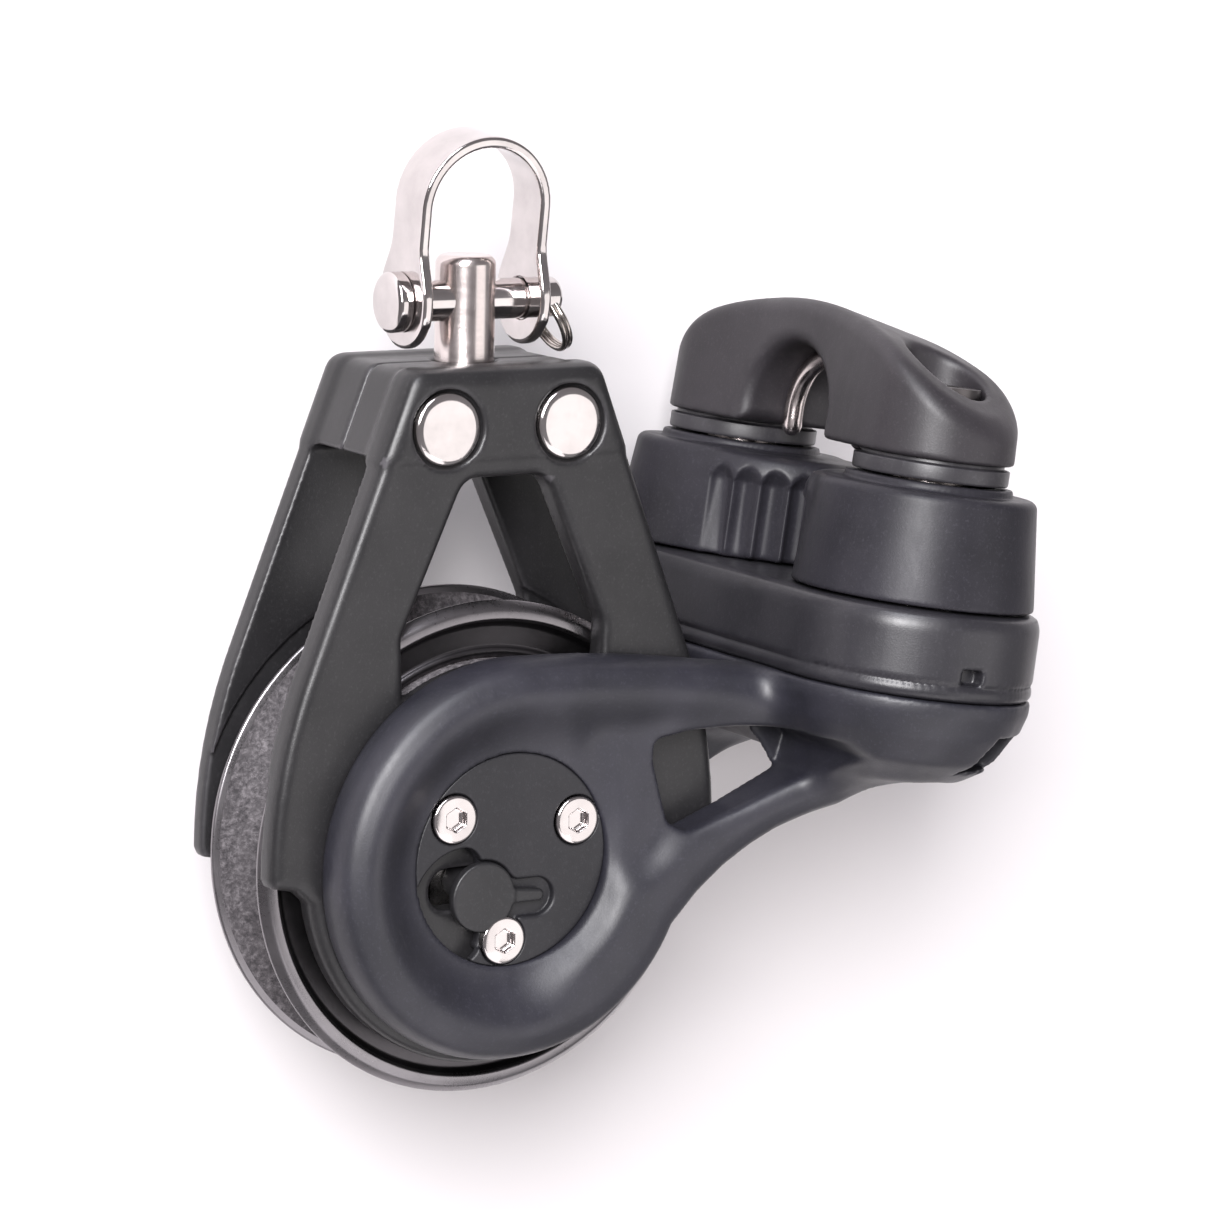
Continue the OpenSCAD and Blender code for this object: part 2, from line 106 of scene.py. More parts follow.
def polygon(p, q, pts):
    """Signed distance to a closed 2D polygon."""
    nearest = None
    inside = None
    for i, (ax, ay) in enumerate(pts):
        bx, by = pts[i - 1]
        ex, ey = bx - ax, by - ay
        wx, wy = p - ax, q - ay
        t = np.clip((wx * ex + wy * ey) / (ex * ex + ey * ey), 0, 1)
        d2 = (wx - ex * t) ** 2 + (wy - ey * t) ** 2
        nearest = d2 if nearest is None else np.minimum(nearest, d2)
        above, below, left = q >= ay, q < by, ex * wy > ey * wx
        flip = (above & below & left) | (~above & ~below & ~left)
        inside = flip if inside is None else inside ^ flip
    return np.where(inside, -1, 1) * np.sqrt(nearest)


def arc(s, p, e, n):
    """n points on the curve from s to e that bends towards p."""
    steps = [k / (n - 1) for k in range(n)]
    return [tuple((1 - t) ** 2 * s + 2 * t * (1 - t) * p + t * t * e) for t in steps]


def rounded(pts, radii, n=7):
    """The polygon's points with each corner turned into an arc."""
    out = []
    for i, (corner, r) in enumerate(zip(pts, radii)):
        p = Vector(corner)
        if r <= 0:
            out.append(tuple(p))
            continue
        a = Vector(pts[i - 1]) - p
        b = Vector(pts[(i + 1) % len(pts)]) - p
        cut = min(r / math.tan(a.angle(b) / 2), a.length * 0.48, b.length * 0.48)
        out += arc(p + a.normalized() * cut, p, p + b.normalized() * cut, n)
    return out


def bar(p, q, a, b, ra, rb):
    """A flat bar from a to b whose radius goes from ra to rb."""
    ex, ey = b[0] - a[0], b[1] - a[1]
    wx, wy = p - a[0], q - a[1]
    t = np.clip((wx * ex + wy * ey) / (ex * ex + ey * ey), 0, 1)
    return np.sqrt((wx - ex * t) ** 2 + (wy - ey * t) ** 2) - (ra + (rb - ra) * t)


def curve(d, pts):
    """A smoothed line through (distance, height) points."""
    xs, ys = zip(*pts)
    return sum(np.interp(d + k, xs, ys) for k in (-0.45, -0.2, 0, 0.2, 0.45)) / 5


def blur(grid, passes):
    """Evens out a grid along its first and last axes."""
    for _ in range(passes):
        for axis in (0, 2):
            g = np.moveaxis(grid, axis, 0)
            g = np.concatenate([g[:1], g, g[-1:]])
            grid = np.moveaxis((g[:-2] + 2 * g[1:-1] + g[2:]) / 4, 0, axis)
    return grid


def local(x, y, z, m=CLEAT.inverted()):
    """Frame coordinates turned into those of the tilted cleat."""
    return tuple(m[i][0] * x + m[i][1] * y + m[i][2] * z + m[i][3] for i in range(3))


# ---- meshes, each a pair of vertices and faces ----------------------------

CORNERS = [(a, b, c) for a in (0, 1) for b in (0, 1) for c in (0, 1)]


def sample(f, g):
    """Trilinear value of the grid f at the grid coordinates g."""
    i = np.clip(np.floor(g).astype(int), 0, np.array(f.shape) - 2)
    t = g - i
    out = 0
    for corner in CORNERS:
        w = 1
        for k, c in enumerate(corner):
            w = w * (t[:, k] if c else 1 - t[:, k])
        out = out + w * f[tuple((i + np.array(corner)).T)]
    return out


def net_points(f, cells):
    """One point for each cell, in the middle of the places where its edges cross zero."""
    total = np.zeros((len(cells), 3))
    hits = np.zeros(len(cells))
    for axis in range(3):
        along = np.eye(3, dtype=int)[axis]
        others = [k for k in range(3) if k != axis]
        for u in (0, 1):
            for v in (0, 1):
                off = np.zeros(3, int)
                off[others[0]], off[others[1]] = u, v
                a, b = cells + off, cells + off + along
                fa, fb = f[tuple(a.T)], f[tuple(b.T)]
                m = (fa < 0) != (fb < 0)
                t = fa[m] / (fa[m] - fb[m])
                total[m] += a[m] + t[:, None] * along
                hits[m] += 1
    return total / hits[:, None]


def net_quads(s, index):
    """A quad round each grid edge whose ends differ in s; index numbers the cells' points."""
    quads = []
    for axis in range(3):
        here, there = [slice(None)] * 3, [slice(None)] * 3
        here[axis], there[axis] = slice(0, -1), slice(1, None)
        low = s[tuple(here)]
        e = np.argwhere(low != s[tuple(there)])
        o = [k for k in range(3) if k != axis]
        e = e[(e[:, o[0]] > 0) & (e[:, o[1]] > 0)]
        d0, d1 = np.eye(3, dtype=int)[o[0]], np.eye(3, dtype=int)[o[1]]
        q = np.stack([index[tuple(c.T)] for c in (e - d0 - d1, e - d1, e, e - d0)], 1)
        turn = low[tuple(e.T)] ^ (axis == 1)
        q[~turn] = q[~turn][:, ::-1]
        quads.append(q)
    return np.concatenate(quads)


def skin(f, lo, cell):
    """Surface nets: vertices and quads where the grid f crosses zero."""
    f = f.astype(np.float32)
    s = f < 0
    n = f.shape
    parts = [s[a:n[0] - 1 + a, b:n[1] - 1 + b, c:n[2] - 1 + c] for a, b, c in CORNERS]
    count = sum(p.astype(np.int8) for p in parts)
    mixed = (count > 0) & (count < 8)
    index = np.full(mixed.shape, -1, np.int64)
    cells = np.argwhere(mixed)
    index[mixed] = np.arange(len(cells))
    verts = net_points(f, cells)
    quads = net_quads(s, index)
    for _ in range(2):                       # even out, then back onto the surface
        around = np.zeros_like(verts)
        w = np.zeros(len(verts))
        for k in range(4):
            a, b = quads[:, k], quads[:, (k + 1) % 4]
            np.add.at(around, a, verts[b])
            np.add.at(w, a, 1)
        verts = 0.5 * verts + 0.5 * around / w[:, None]
        for _ in range(2):
            g = np.stack([sample(f, verts + d) - sample(f, verts - d) for d in np.eye(3) * 0.5], 1)
            v = sample(f, verts)
            size = np.maximum((g * g).sum(1), 1e-9)
            verts -= np.clip(v[:, None] * g / size[:, None], -0.5, 0.5)
    return verts * cell + np.array(lo), quads


def shape(fn, lo, hi, cell):
    """Meshes the field fn(x, y, z), whose surface lies inside the box lo..hi."""
    lo = [v - 2.5 * cell for v in lo]
    n = [int((hi[k] + 2.5 * cell - lo[k]) / cell) + 1 for k in range(3)]
    ax = [lo[k] + cell * np.arange(n[k]) for k in range(3)]
    f = fn(ax[0][:, None, None], ax[1][None, :, None], ax[2][None, None, :])
    return skin(np.broadcast_to(f, n), lo, cell)


def mirror_y(mesh):
    """The mesh on the other side of the middle plane."""
    verts, faces = mesh
    turned = [f[::-1] for f in faces] if isinstance(faces, list) else faces[:, ::-1]
    return verts * np.array([1, -1, 1]), turned


def moved(mesh, offset):
    return mesh[0] + np.array(offset), mesh[1]


def join(meshes):
    verts, faces, base = [], [], 0
    for v, f in meshes:
        verts.append(np.asarray(v, float))
        faces += [[int(i) + base for i in q] for q in f]
        base += len(v)
    return np.concatenate(verts), faces


def lathe(profile, segs=96, axis="Z"):
    """Spins (radius, height) points about an axis; the height runs along that axis."""
    verts, faces, rings = [], [], []
    angles = [2 * math.pi * k / segs for k in range(segs)]
    for r, h in profile:
        if r < 1e-6:
            rings.append([len(verts)])
            verts.append((0, 0, h))
        else:
            rings.append(list(range(len(verts), len(verts) + segs)))
            verts += [(r * math.cos(a), r * math.sin(a), h) for a in angles]
    for a, b in zip(rings, rings[1:]):
        for k in range(segs):
            j = (k + 1) % segs
            if len(a) == 1:
                faces.append([b[j], b[k], a[0]])
            elif len(b) == 1:
                faces.append([a[j], b[0], a[k]])
            else:
                faces.append([a[j], b[j], b[k], a[k]])
    order = {"X": [2, 0, 1], "Y": [1, 2, 0], "Z": [0, 1, 2]}[axis]
    return np.array(verts)[:, order], faces


def soft_profile(pts, r=0.25, n=4):
    """Rounds the corners of an open lathe profile."""
    out = [pts[0]]
    for a, p, b in zip(pts, pts[1:], pts[2:]):
        p = Vector(p)
        to_a, to_b = Vector(a) - p, Vector(b) - p
        cut = min(r, to_a.length * 0.45, to_b.length * 0.45)
        out += arc(p + to_a.normalized() * cut, p, p + to_b.normalized() * cut, n)
    return out + [pts[-1]]


def tube(path, radius, segs=16):
    """A round wire along a path, with rounded ends."""
    cap_angles = (0.02, 0.5, 1.0)
    path = [Vector(p) for p in path]
    ends = [math.sin(a) for a in cap_angles]
    radii = [radius * e for e in ends] + [radius] * len(path) + [radius * e for e in ends[::-1]]
    first, last = (path[1] - path[0]).normalized(), (path[-1] - path[-2]).normalized()
    head = [path[0] - first * radius * math.cos(a) for a in cap_angles]
    tail = [path[-1] + last * radius * math.cos(a) for a in cap_angles[::-1]]
    pts = head + path + tail
    verts, faces = [], []
    side = None
    for i, p in enumerate(pts):
        d = (pts[min(i + 1, len(pts) - 1)] - pts[max(i - 1, 0)]).normalized()
        side = d.orthogonal() if side is None else side - d * side.dot(d)
        side.normalize()
        up = d.cross(side)
        for k in range(segs):
            a = 2 * math.pi * k / segs
            verts.append(p + (side * math.cos(a) + up * math.sin(a)) * radii[i])
    for i in range(len(pts) - 1):
        for k in range(segs):
            j = (k + 1) % segs
            faces.append([i * segs + k, i * segs + j, (i + 1) * segs + j, (i + 1) * segs + k])
    faces.append(list(range(segs))[::-1])
    faces.append([(len(pts) - 1) * segs + k for k in range(segs)])
    return np.array([tuple(v) for v in verts]), faces


def piece(name, mesh, body, node, material, at=None):
    """Makes an object from a millimetre mesh, puts it in place and tells the frame about it."""
    verts, faces = np.asarray(mesh[0], float), mesh[1]
    if at is not None:
        m = np.array(at)
        verts = verts @ m[:3, :3].T + m[:3, 3]
    data = bpy.data.meshes.new(name)
    data.from_pydata((verts * 0.001).tolist(), [], [list(map(int, f)) for f in faces])
    data.validate()
    data.update()
    data.shade_smooth()
    obj = bpy.data.objects.new(name, data)
    bpy.context.scene.collection.objects.link(obj)
    for m in material if isinstance(material, list) else [material]:
        data.materials.append(m)
    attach(obj, body)
    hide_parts(node)
    return obj


# ---- materials ------------------------------------------------------------

def nodes_of(name):
    m = bpy.data.materials.new(name)
    m.use_nodes = True
    t = m.node_tree
    return m, t.nodes, t.links, t.nodes["Principled BSDF"]


def noise(n, l, scale, detail=4, rough=0.6, stretch=None):
    out = n.new("ShaderNodeTexCoord").outputs["Object"]
    if stretch:
        mp = n.new("ShaderNodeMapping")
        mp.inputs["Scale"].default_value = stretch
        l.new(out, mp.inputs["Vector"])
        out = mp.outputs["Vector"]
    t = n.new("ShaderNodeTexNoise")
    t.inputs["Scale"].default_value = scale
    t.inputs["Detail"].default_value = detail
    t.inputs["Roughness"].default_value = rough
    l.new(out, t.inputs["Vector"])
    return t.outputs["Fac"]


def ramp(n, l, fac, stops):
    r = n.new("ShaderNodeValToRGB")
    while len(r.color_ramp.elements) < len(stops):
        r.color_ramp.elements.new(0.5)
    for e, (p, c) in zip(r.color_ramp.elements, stops):
        e.position = p
        e.color = (*c, 1) if isinstance(c, (tuple, list)) else (c, c, c, 1)
    l.new(fac, r.inputs["Fac"])
    return r.outputs["Color"]


def mix(n, l, fac, a, b, mode="MIX"):
    m = n.new("ShaderNodeMix")
    m.data_type = "RGBA"
    m.blend_type = mode
    for key, v in (("A", a), ("B", b)):
        sock = [s for s in m.inputs if s.name == key and s.type == "RGBA"][0]
        if hasattr(v, "node"):
            l.new(v, sock)
        else:
            sock.default_value = (*v, 1)
    if hasattr(fac, "node"):
        l.new(fac, m.inputs[0])
    else:
        m.inputs[0].default_value = fac
    return [s for s in m.outputs if s.type == "RGBA"][0]


def bump(n, l, height, strength, distance, below=None):
    b = n.new("ShaderNodeBump")
    b.inputs["Strength"].default_value = strength
    b.inputs["Distance"].default_value = distance
    l.new(height, b.inputs["Height"])
    if below:
        l.new(below, b.inputs["Normal"])
    return b.outputs["Normal"]


def plastic(name, dark, light, rough, grain=0.25, spec=0.5, edge=None):
    """Moulded plastic: cloudy colour, a fine moulded grain, faint scuffs and paler edges, which are wear
    and a painted highlight.
    """
    m, n, l, p = nodes_of(name)
    cloud = noise(n, l, 90, 3)
    col = ramp(n, l, cloud, [(0.3, dark), (0.7, light)])
    speck = ramp(n, l, noise(n, l, 2600, 2, 0.7), [(0.55, 0.0), (0.8, 0.35)])
    col = mix(n, l, speck, col, tuple(min(1, v * 2.2 + 0.01) for v in light))
    scuff = noise(n, l, 260, 6, 0.7, stretch=(1, 1, 0.25))
    # paler edges where pointiness is high: worn edges and a painted highlight along them
    if edge:
        g = n.new("ShaderNodeNewGeometry")
        worn_and_highlit_edge = ramp(n, l, g.outputs["Pointiness"], [(0.525, 0.0), (0.60, 1.0)])
        patchy = ramp(n, l, scuff, [(0.35, 0.15), (0.65, 1.0)])
        col = mix(n, l, mix(n, l, 1.0, worn_and_highlit_edge, patchy, "MULTIPLY"), col, edge)
    l.new(col, p.inputs["Base Color"])
    l.new(ramp(n, l, scuff, [(0.3, rough[0]), (0.7, rough[1])]), p.inputs["Roughness"])
    p.inputs["Specular IOR Level"].default_value = spec
    fine = bump(n, l, noise(n, l, 5200, 2, 0.5), grain, 0.00004)
    l.new(bump(n, l, scuff, 0.06, 0.0001, fine), p.inputs["Normal"])
    return m


def metal(name, colour, rough, grain=0.15, stretch=(1, 1, 1), scale=900):
    """Bare metal with fine drawn or turned lines, smears and small nicks."""
    m, n, l, p = nodes_of(name)
    p.inputs["Metallic"].default_value = 1.0
    smear = noise(n, l, 140, 5, 0.6)
    lines = noise(n, l, scale, 5, 0.65, stretch=stretch)
    dull = tuple(v * 0.82 for v in colour)
    l.new(ramp(n, l, smear, [(0.35, dull), (0.62, colour)]), p.inputs["Base Color"])
    both = mix(n, l, 0.5, smear, lines)
    l.new(ramp(n, l, both, [(0.35, rough[0]), (0.7, rough[1])]), p.inputs["Roughness"])
    nick = ramp(n, l, noise(n, l, 700, 3, 0.8), [(0.30, 0.0), (0.36, 1.0)])
    deep = bump(n, l, nick, 0.12, 0.00005)
    l.new(bump(n, l, lines, grain, 0.00003, deep), p.inputs["Normal"])
    return m


def grip_coat():
    """The rough speckled coat of the rope groove."""
    m, n, l, p = nodes_of("grip_coat")
    grit, patches = noise(n, l, 1500, 4, 0.75), noise(n, l, 420, 3, 0.6)
    col = ramp(n, l, grit, [(0.36, (0.026, 0.023, 0.026)), (0.5, (0.070, 0.063, 0.068)),
                            (0.66, (0.16, 0.147, 0.155))])
    col = mix(n, l, ramp(n, l, patches, [(0.4, 0.0), (0.7, 0.5)]), col, (0.06, 0.054, 0.058))
    l.new(col, p.inputs["Base Color"])
    p.inputs["Metallic"].default_value = 0.25
    p.inputs["Roughness"].default_value = 0.62
    coarse = bump(n, l, grit, 0.7, 0.00018)
    l.new(bump(n, l, noise(n, l, 4200, 2, 0.6), 0.4, 0.00006, coarse), p.inputs["Normal"])
    return m


# name, dark and light colour, roughness, grain, specular level, paler edge colour (wear and painted
# highlight)
# the cheek's paler edges are a painted highlight along its edges as well as wear
CHEEK = plastic("cheek_plastic", (0.010, 0.0097, 0.0105), (0.017, 0.0163, 0.0175), (0.31, 0.42),
                0.30, 0.42, (0.085, 0.080, 0.088))
ARM = plastic("arm_plastic", (0.010, 0.010, 0.0145), (0.018, 0.0175, 0.025), (0.40, 0.54), 0.26, 0.6)
BASE = plastic("base_plastic", (0.013, 0.0125, 0.0155), (0.022, 0.021, 0.025), (0.30, 0.42), 0.22, 0.5)
CAM = plastic("cam_plastic", (0.012, 0.0115, 0.0145), (0.021, 0.0198, 0.025), (0.36, 0.50), 0.22, 0.26)
ARCH = plastic("arch_plastic", (0.017, 0.0150, 0.0175), (0.027, 0.0240, 0.0275), (0.40, 0.52),
               0.3, 0.45)
HUB = plastic("hub_plastic", (0.010, 0.0098, 0.0118), (0.016, 0.0155, 0.018), (0.42, 0.52), 0.3, 0.42)
SWITCH = plastic("switch_plastic", (0.012, 0.0118, 0.0130), (0.018, 0.0175, 0.0190), (0.36, 0.46),
                 0.3, 0.45)
WASHER = plastic("washer_plastic", (0.020, 0.019, 0.022), (0.034, 0.032, 0.036), (0.32, 0.44), 0.2)
WHITE = plastic("bearing_plastic", (0.74, 0.73, 0.70), (0.84, 0.83, 0.80), (0.22, 0.32), 0.1)
# name, colour, roughness, grain, stretch and scale of the lines
STEEL = metal("stainless_steel", (0.74, 0.67, 0.65), (0.16, 0.28), 0.12, (1, 1, 8), 500)
POLISHED = metal("polished_steel", (0.66, 0.62, 0.61), (0.07, 0.16), 0.05, (1, 1, 1), 500)
WIRE = metal("spring_wire", (0.50, 0.46, 0.43), (0.14, 0.26), 0.15, (1, 1, 1), 1400)
DARKSTEEL = metal("hardened_steel", (0.42, 0.40, 0.39), (0.22, 0.36), 0.2, (1, 1, 1), 900)
RIM = metal("flange_alloy", (0.25, 0.238, 0.248), (0.24, 0.38), 0.18, (6, 1, 6), 600)
DARKRIM = metal("flange_side", (0.095, 0.09, 0.095), (0.28, 0.40), 0.18, (6, 1, 6), 600)
SUNK = metal("sunk_screws", (0.13, 0.12, 0.12), (0.30, 0.42), 0.15, (1, 1, 1), 900)
GRIP = grip_coat()


# ---- cheeks ---------------------------------------------------------------

LEG_FOOT, LEG_ARC, LEG_BEND, LEG_SLOPE = 28.9, 61, 22.2, 0.39
SHEAVE_ROOM_R, SHEAVE_ROOM_Y = 29.7, 7.2


def leg_x(z):
    """Half width of a cheek at height z: an arc up to the bend, straight above it."""
    if z < LEG_BEND:
        return LEG_FOOT - LEG_ARC * (1 - math.cos(math.asin(max(z, 0) / LEG_ARC)))
    return leg_x(LEG_BEND - 0.001) - (z - LEG_BEND) * LEG_SLOPE


side = [(leg_x(z), z) for z in (0, 3, 6, 9, 12, 15, 18, 21, 24, 30, 40)]
top = rounded([(leg_x(45), 45), (leg_x(55), 55), (-leg_x(55), 55), (-leg_x(45), 45)], [0, 2.2, 2.2, 0])
foot = [(10, -12), (22.9, -5.6), (24.1, -3.0), (25.6, -1.6), (28.6, -0.9)]
CHEEK_EDGE = side + top + [(-x, z) for x, z in side[::-1]] + [(-x, z) for x, z in foot[::-1]] + foot
WINDOW = rounded([(-5.2, 43), (5.2, 43), (12.9, 25.8), (12.6, 19), (-12.6, 19), (-12.9, 25.8)],
                 [2.8, 2.8, 2.5, 0, 0, 2.5])


def cheek(x, y, z):
    """The near cheek; the far one is its mirror image."""
    r = np.hypot(x, z)
    edge = np.minimum(polygon(x, z, CHEEK_EDGE), r - DISC_R)
    window = np.maximum(polygon(x, z, WINDOW), 22.0 - r)
    bevel = (edge - (y + FACE)) * SLANT + 0.6
    window_bevel = (-window - (y + FACE)) * SLANT + 0.45
    wall = cut_round(edge, np.abs(y + 8.45) - 1.85, 0.35)
    wall = cut_round(wall, bevel, 0.4)
    wall = carve(wall, window, 0.45)
    wall = cut_round(wall, window_bevel, 0.35)
    head = cut_round(np.maximum(edge, 45.5 - z), np.abs(y + 5.15) - 5.15, 0.45)
    head = cut_round(head, bevel, 0.7)
    f = smooth_union(wall, head, 1.2)
    f = carve(f, np.maximum(r - SHEAVE_ROOM_R, -SHEAVE_ROOM_Y - y), 0.3)
    from_post = np.hypot(x, y)
    f = np.maximum(f, -np.maximum(from_post - 5.0, np.abs(z - 49.4) - 1.9))    # room for the post's foot
    f = carve(f, np.maximum(from_post - 3.65, 50 - z), 0.4)                    # and for its stem
    for s in (-1, 1):
        from_rivet = np.hypot(x - s * RIVET_X, z - RIVET_Z)
        f = carve(f, np.maximum(from_rivet - 4.45, y + FACE - 0.6), 0.15)
    return f


def stem_slot(x, z):
    """The slot that the knob's stem slides in."""
    return bar(x, z, KNOB, (KNOB[0] - KNOB_TRAVEL, KNOB[1]), SLOT_R, SLOT_R)


def near_cheek(x, y, z):
    return np.maximum(cheek(x, y, z), -stem_slot(x, z))


box = (-29.4, -10.6, -24.6), (29.4, 0.3, 55.4)
near = shape(near_cheek, *box, CELL)
far = mirror_y(shape(cheek, *box, CELL))
piece("cheek_near", near, "block", "near_cheek", CHEEK)
piece("cheek_far", far, "block", "far_cheek", CHEEK)


# ---- arm and the cleat's base ---------------------------------------------

ARM_EDGE = [(0, 22.9), (4, 22.9), (9.3, 22.6), (17.9, 21.9), (24.6, 21.1), (34, 19.4), (45, 16.8),
            (54, 14), (54, 9.5), (49, 8.2), (46, 6.6), (43.6, 4.9), (41.1, 2.9), (37.5, 1.6), (34, 0.2),
            (30.9, -1.5), (27.5, -3.7), (24, -6.5), (20.4, -10.2), (12, -17), (0, -18)]
ARM_HOLE = rounded([(18.0, 12.3), (22, 13.0), (28.6, 13.1), (35.8, 12.6), (37.9, 10.8), (36.8, 7.2),
                    (28.3, 3.6), (22, 1.3), (19.8, 2.5), (17.8, 9.9)],
                   [1.2, 3, 4, 1.0, 0.8, 1.5, 6, 1.8, 1.5, 3])
POCKET = rounded([(12.9, -1.5), (14.6, -3.8), (18.2, -1.9), (20, 1), (19, 8), (18.5, 12.5), (13, 13.4),
                  (10, 13), (12, 8), (13.2, 3)], [1.5, 1.5, 2, 2, 4, 2, 2, 1.5, 4, 4])
# half thickness of the arm by distance: in from its outline where its rim is rolled,
# in from its outline where it is flat, and out from the hub's axis
ROLL = [(-0.2, 12.2), (0, 12.6), (0.3, 13.8), (1, 15.0), (2, 15.9), (3, 16.35), (4, 16.45), (5, 16.15),
        (6, 15.4), (7, 14.5), (8, 13.7), (9, 13.1), (10.6, 12.5)]
EDGE = [(-0.2, 12.2), (0, 12.6), (0.3, 13.9), (1.2, 15.2), (2.6, 15.9)]
STEEP = [(12.3, 12.5), (12.7, 13.4), (13.4, 14.8), (14.6, 15.8)]
POCKET_Y = 13.9
BOWL = rounded([(-9, BOWL_TOP), (15.35, BOWL_TOP), (15.3, -11.5), (14.4, -14.2), (12.2, -17.6),
                (8.2, -20.3), (-9, -21.2)], [0, 0.35, 2, 3, 3, 3, 0], 5)
NUT_SLOT_TURN = math.radians(50)


def arm_height(x, z, r, edge):
    """Half thickness of the fork where its outline is -edge away and the hub is r away."""
    roll = curve(-edge, ROLL)
    near_edge = curve(-edge, EDGE)
    flat = np.minimum(curve(r, STEEP), near_edge)
    w = step(x, 0, 9) * step(z, 5, -2)
    high = roll * (1 - w) + flat * w
    shelf = 13.4 + 1.1 * step(x, 16, 20)
    high = np.maximum(high, np.minimum(shelf, near_edge) * step(x, 12.5, 16) * step(r, 12.4, 14.5))
    pocket = polygon(x, z, POCKET)
    high = high + (POCKET_Y - high) * step(-pocket, -1.2, 1.4) * step(r, 12.5, 13.4)
    crest = 0.011 * np.maximum(x - 24, 0) ** 2
    return high + crest


def from_row(x, y):
    """Distance from the line that joins the two cam axes, in the cleat's frame."""
    return np.hypot(x, np.maximum(np.abs(y) - CAM_Y, 0))


def arm(x, y, z):
    """The forked arm and the bowl under the cleat."""
    yy = np.abs(y)
    r = np.hypot(x, z)
    edge = np.minimum(polygon(x, z, ARM_EDGE), r - ARM_R)
    high = arm_height(x, z, r, edge)
    even = blur(high, round(2 * (1.1 / ARM_CELL) ** 2))
    outer = (yy - high - (even - high) * step(-edge, 0.8, 2.6)) * 0.75
    sides = cut_round(edge, outer, 0.5)
    sides = cut_round(sides, ARM_IN - yy, 0.4)
    sides = np.maximum(sides, ARM_BORE - r)
    lx, ly, lh = local(x, y, z)
    bowl = polygon(from_row(lx, ly), lh, BOWL)
    f = blend(bowl, sides, 3.0 + 4.0 * step(x, 34, 40))
    f = carve(f, np.maximum(polygon(x, z, ARM_HOLE), 10.4 - yy), 0.6)
    f = np.maximum(f, np.where(x < 31.5, ARM_IN - yy, -50.0))
    f = cut_round(f, lh - BOWL_TOP, 0.25)
    for s in (-1, 1):
        c, q = math.cos(s * NUT_SLOT_TURN), math.sin(s * NUT_SLOT_TURN)
        across = ly - s * CAM_Y
        u, v = lx * c + across * q, -lx * q + across * c
        nut_slot = np.maximum(np.maximum(np.abs(v) - 4.6, -u), np.abs(lh + 16.3) - 2.3)
        f = carve(f, nut_slot, 0.35)
        f = carve(f, np.maximum(np.hypot(lx, across) - 3.0, lh + 17), 0.3)
    return f


mesh = shape(arm, (-23.4, -35.4, -23.4), (65.6, 35.4, 23.4), ARM_CELL)
piece("forked_arm", mesh, "block", "cam_arm", ARM)


def base(x, y, h):
    """The cleat's base, with two grooves round its wall, an end window and the screw bores."""
    d = from_row(x, y) - BASE_R - 0.012 * np.maximum(-h, 0)
    f = cut_round(d, np.abs(h + 4.97) - 4.97, 0.35)
    f = cut_round(f, (d + h) * SLANT + 0.55, 0.9)
    f = carve(f, np.hypot(d, h + 8.15) - 0.30, 0.15)
    f = carve(f, np.hypot(d - 0.05, h + 9.9) - 0.40, 0.15)
    for s in (-1, 1):
        window = np.maximum(np.maximum(np.abs(x + 1.2) - 1.35, np.abs(h + 7.0) - 0.9), 33 - s * y)
        f = carve(f, window, 0.2)
        f = np.maximum(f, -(np.hypot(x, y - s * CAM_Y) - 2.6))
    return f


mesh = shape(base, (-15.6, -35.1, -10.2), (15.6, 35.1, 0.2), CELL * 0.95)
piece("cleat_base", mesh, "block", "cam_base", BASE, at=CLEAT)


# ---- cams and their caps --------------------------------------------------

TEETH, TOOTH_START, TOOTH_SPAN = 6, 66, 71     # number, and degrees about the cam's axis
CAM_REACH = 20.4                               # longest radius of the toothed lobe
CAM_FOOT = 0.3
CAM_BORE = 7.6


def cam(x, y, h):
    """The near cam about its own axis, at y = 0."""
    r = np.hypot(x, y)
    angle = np.degrees(np.arctan2(y, x)) % 360
    body = cut_round(r - (14.2 - 0.118 * (h - CAM_FOOT)), CAM_FOOT - h, 0.3)
    body = cut_round(body, h - 13.0, 0.9)
    turn = (angle - TOOTH_START) / TOOTH_SPAN
    tip = CAM_REACH - 6.5 * np.clip(turn, 0, 1) - 7 * np.clip(turn - 1, 0, 2)
    flute = np.abs(np.sin(turn * TEETH * math.pi)) ** 0.8 - 0.46 * np.maximum(h - 9.4, 0)
    on = step(turn, -0.01, 0.01) * step(turn, 1.01, 0.99)
    lobe = (r - tip + 1.45 * np.maximum(flute, 0) * on) * 0.82
    lobe = cut_round(lobe, x - 11.4, 1.6)
    lobe = cut_round(lobe, np.maximum(CAM_FOOT - h, h - 12.9), 0.6)
    lobe = cut_round(lobe, (r - tip + (h - 11.6) * 0.9) * 0.7, 0.8)
    lobe = np.maximum(lobe, -y - 1)
    f = blend(body, lobe, 0.7)
    neck = cut_round(r - 9.8, np.maximum(CAM_FOOT - h, h - 13.9), 0.3)
    return np.maximum(np.minimum(f, neck), CAM_BORE - r)


near = moved(shape(cam, (-19.5, -14.9, 0.2), (14.9, 19.5, 14.0), CAM_CELL), (0, -CAM_Y, 0))
piece("cam_near", near, "near_cam", "near_cam", CAM, at=CLEAT)
piece("cam_far", mirror_y(near), "far_cam", "far_cam", CAM, at=CLEAT)

cap = lathe(soft_profile([(2.5, 14.2), (9.0, 14.2), (9.1, 14.45), (9.1, 16.0), (8.4, 16.15),
                          (8.4, 16.6), (2.5, 16.6), (2.5, 14.2)], 0.12))
for s, name in ((-1, "near"), (1, "far")):
    piece("cap_" + name, moved(cap, (0, s * CAM_Y, 0)), "block", name + "_cam_cap", WASHER,
          at=CLEAT)


# ---- fairlead -------------------------------------------------------------

ARCH_FOOT = 16.6
EYE_H, EYE_R = 18.8, 8.1
WIRE_X, WIRE_BEND = -1.5, 7.1


